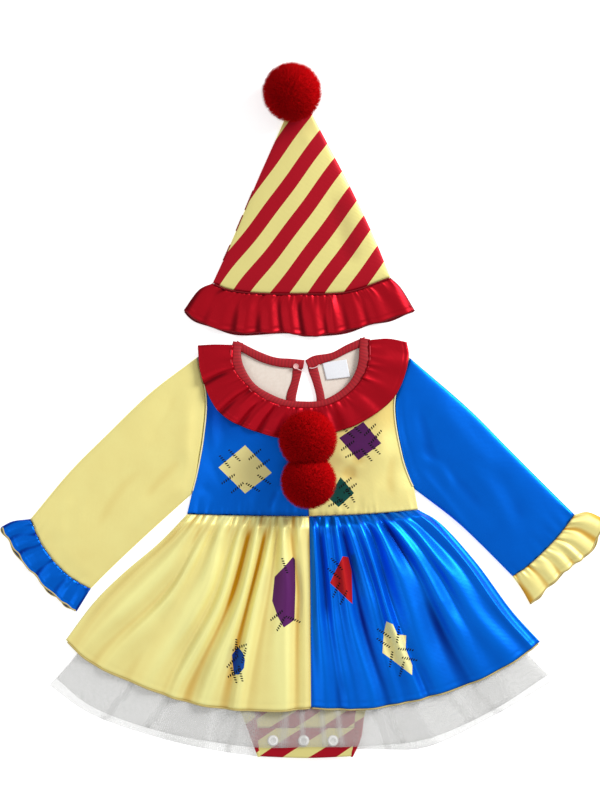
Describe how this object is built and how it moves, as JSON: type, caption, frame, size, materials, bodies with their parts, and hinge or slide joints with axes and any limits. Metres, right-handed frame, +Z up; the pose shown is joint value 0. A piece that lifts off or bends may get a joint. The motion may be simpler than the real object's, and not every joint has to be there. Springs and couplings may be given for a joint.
{
  "type": "clown costume",
  "caption": "Baby's clown costume laid out flat: a gathered dress-romper in satin halves with frilled collar, cuffs, tulle and fur pompoms, and a striped cone hat above it.",
  "frame": {"origin": "middle of the underside, on the surface that the costume lies on", "axes": "+Z up from that surface, with the front of the costume on top; +Y from the skirt towards the hat; +X towards the blue sleeve"},
  "size_m": [0.6238, 0.7184, 0.0585],
  "materials": {
    "yellow_satin": "polyester satin, soft sheen",
    "blue_satin": "polyester satin, bright sheen",
    "red_satin": "polyester satin, gathered",
    "red_rib": "rib knit, matt",
    "striped_satin": "satin with printed slanting stripes, red and yellow",
    "white_tulle": "fine tulle net, matt",
    "red_fur": "long-pile fur, soft",
    "white_label": "woven tape, bare",
    "white_plastic": "moulded, glossy",
    "white_thread": "worked thread loop"
  },
  "bodies": {
    "root": {"collar_frill_back_left": "red_satin", "collar_frill_back_right": "red_satin", "bodice_back_blue": "blue_satin", "bodice_back_yellow": "yellow_satin", "bodice_front_blue": "blue_satin", "bodice_front_yellow": "yellow_satin", "sleeve_yellow": "yellow_satin", "sleeve_blue": "blue_satin", "cuff_frill_blue": "blue_satin", "cuff_frill_yellow": "yellow_satin", "skirt_back_yellow": "yellow_satin", "skirt_back_blue": "blue_satin", "tulle_back": "white_tulle", "leg_binding_left": "striped_satin", "leg_binding_right": "striped_satin", "romper_back": "striped_satin", "placket_back": "striped_satin", "romper_front": "striped_satin", "placket_front": "striped_satin", "snap_1": "white_plastic", "snap_2": "white_plastic", "snap_3": "white_plastic", "tulle_front": "white_tulle", "skirt_front_yellow": "yellow_satin", "skirt_front_blue": "blue_satin", "keyhole_binding": "red_rib", "neck_binding": "red_rib", "button": "white_plastic", "button_loop": "white_thread", "size_label": "white_label", "collar_frill_front": "red_satin", "pompom_upper": "red_fur", "pompom_lower": "red_fur", "hat_cone": "striped_satin", "hat_frill": "red_satin", "hat_pompom": "red_fur"}
  },
  "joints": []
}
